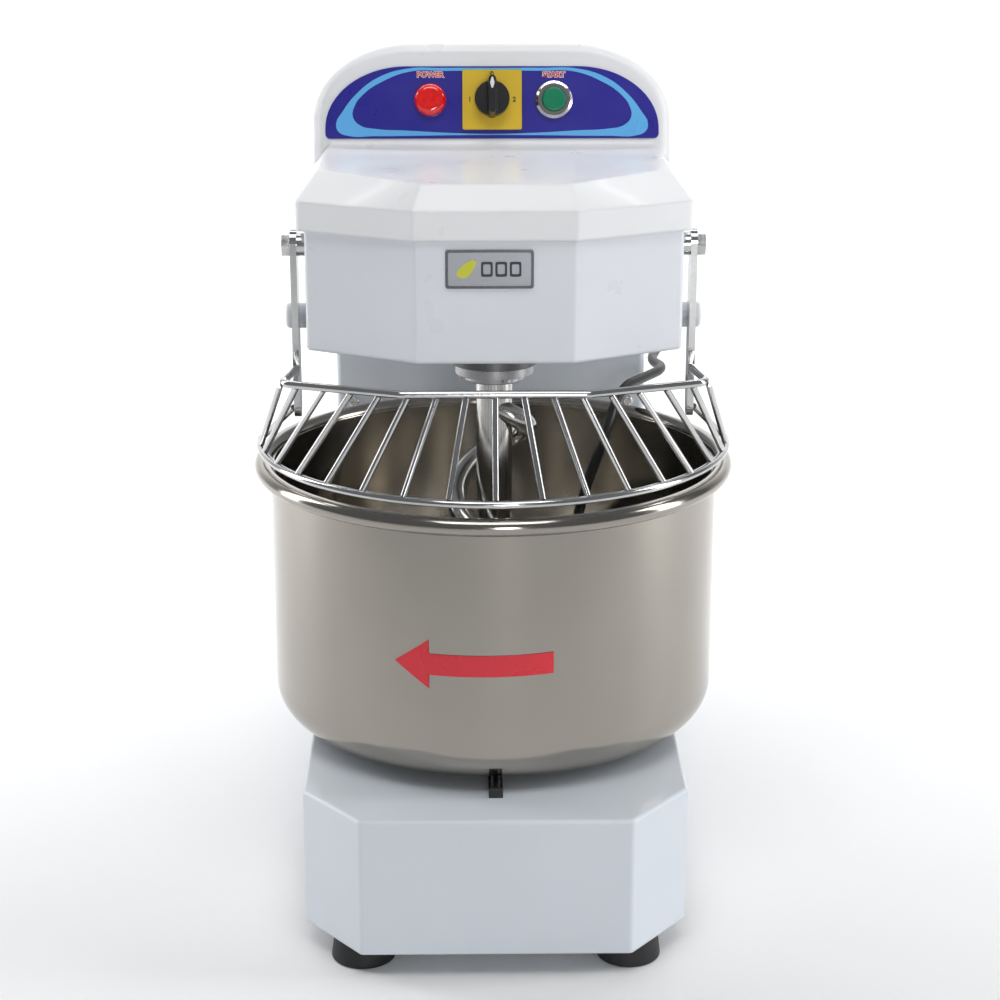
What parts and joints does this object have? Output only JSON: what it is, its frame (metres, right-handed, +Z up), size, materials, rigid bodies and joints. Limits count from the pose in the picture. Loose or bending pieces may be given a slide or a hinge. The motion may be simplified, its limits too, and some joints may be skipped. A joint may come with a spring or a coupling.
{
  "type": "spiral dough mixer",
  "caption": "Bench-top spiral dough mixer with a turning stainless bowl, spiral hook, breaker bar and hinged wire guard.",
  "frame": {"origin": "centre of the box that holds the mixer, at the level of its feet", "axes": "+Z up, +Y from the bowl's side towards the rear cover, +X to the right as the user faces the bowl"},
  "size_m": [0.3899, 0.7611, 0.6813],
  "materials": {
    "painted_sheet": "satin cool white powder coat",
    "head_paint": "satin white powder coat",
    "cover_plastic": "glossy white moulded plastic",
    "panel_blue": "printed blue sticker",
    "lamp_red": "clear red moulded lens",
    "switch_yellow": "yellow plate",
    "black_plastic": "black moulded plastic",
    "button_green": "green moulded plastic",
    "knob_white": "white moulded plastic",
    "plate_grey": "grey printed plate",
    "stainless": "satin stainless steel",
    "chrome": "bright chromed wire",
    "polished_steel": "polished stainless rod",
    "dark_cast": "dark machined casting",
    "plain_steel": "plain machined steel",
    "zinc": "zinc plated fasteners",
    "motor_paint": "grey enamel",
    "rubber_black": "black moulded rubber",
    "cord_black": "black cord sheath",
    "brass": "plated brass",
    "bronze": "oil-filled bronze"
  },
  "bodies": {
    "frame": {"base_bottom_plate": "painted_sheet", "base_housing": "painted_sheet", "bowl_bearing_housing": "dark_cast", "bowl_bearings": "plain_steel", "bowl_housing_bolts": "zinc", "breaker_bar": "polished_steel", "column_housing": "painted_sheet", "contactor": "black_plastic", "control_panel": "panel_blue", "cord_coil": "cord_black", "cord_gland": "black_plastic", "drive_belts": "rubber_black", "drive_chain": "plain_steel", "feet": "rubber_black", "foot_bolts": "zinc", "gearbox": "motor_paint", "guard_switch": "black_plastic", "head_housing": "head_paint", "hook_bearing_housing": "dark_cast", "hook_bearings": "plain_steel", "hook_housing_screws": "zinc", "lamp_body": "black_plastic", "lamp_lens": "lamp_red", "motor": "motor_paint", "motor_mount": "plain_steel", "motor_strap": "plain_steel", "nameplate": "plate_grey", "panel_screws": "zinc", "pivot_bushes": "bronze", "plug_body": "black_plastic", "plug_pins": "brass", "power_cord": "cord_black", "rear_cover": "painted_sheet", "roller_bracket": "black_plastic", "start_bezel": "chrome", "start_contact_block": "black_plastic", "stop_knobs": "knob_white", "switch_body": "black_plastic", "switch_plate": "switch_yellow", "top_cover": "cover_plastic"},
    "bowl": {"bowl": "stainless", "bowl_shaft": "plain_steel", "bowl_sprocket": "plain_steel"},
    "hook": {"spiral_hook": "polished_steel", "hook_flange": "polished_steel", "hook_spindle": "polished_steel", "hook_pulley": "dark_cast"},
    "drive": {"drive_shaft": "plain_steel", "drive_sprocket": "plain_steel", "motor_pulley": "dark_cast"},
    "guard": {"guard_arms": "chrome", "guard_ring": "chrome", "guard_top_rod": "chrome", "guard_bars": "chrome", "guard_side_rods": "chrome", "pivot_bolts": "chrome", "guard_cam": "plain_steel"},
    "start_button_body": {"start_button": "button_green"},
    "selector": {"selector_knob": "black_plastic"},
    "roller": {"bowl_roller": "black_plastic"}
  },
  "joints": [
    {"name": "bowl_spin", "type": "hinge", "parent": "frame", "child": "bowl", "pos_m": [0, -0.099, 0.14], "axis": [0, 0, 1], "continuous": true},
    {"name": "hook_spin", "type": "hinge", "parent": "frame", "child": "hook", "pos_m": [0, -0.191, 0.45], "axis": [0, 0, 1], "continuous": true},
    {"name": "drive_spin", "type": "hinge", "parent": "frame", "child": "drive", "pos_m": [0, 0.201, 0.3], "axis": [0, 0, 1], "continuous": true},
    {"name": "roller_spin", "type": "hinge", "parent": "frame", "child": "roller", "pos_m": [0, -0.263, 0.1362], "axis": [0, 1, 0], "continuous": true},
    {"name": "guard_hinge", "type": "hinge", "parent": "frame", "child": "guard", "pos_m": [0, -0.159, 0.542], "axis": [-1, 0, 0], "range_deg": [0, 95]},
    {"name": "start_press", "type": "slide", "parent": "frame", "child": "start_button_body", "axis": [0, 0.9659, -0.2588], "range_m": [0, 0.004], "stiffness_N_per_m": 300, "springref_m": -0.001},
    {"name": "selector_turn", "type": "hinge", "parent": "frame", "child": "selector", "pos_m": [0, -0.04041, 0.6379], "axis": [0, -0.9659, 0.2588], "range_deg": [-90, 90]}
  ],
  "couplings": [
    {"joint": "drive_spin", "follows": "bowl_spin", "ratio": 8.8},
    {"joint": "hook_spin", "follows": "bowl_spin", "ratio": 10.139}
  ]
}
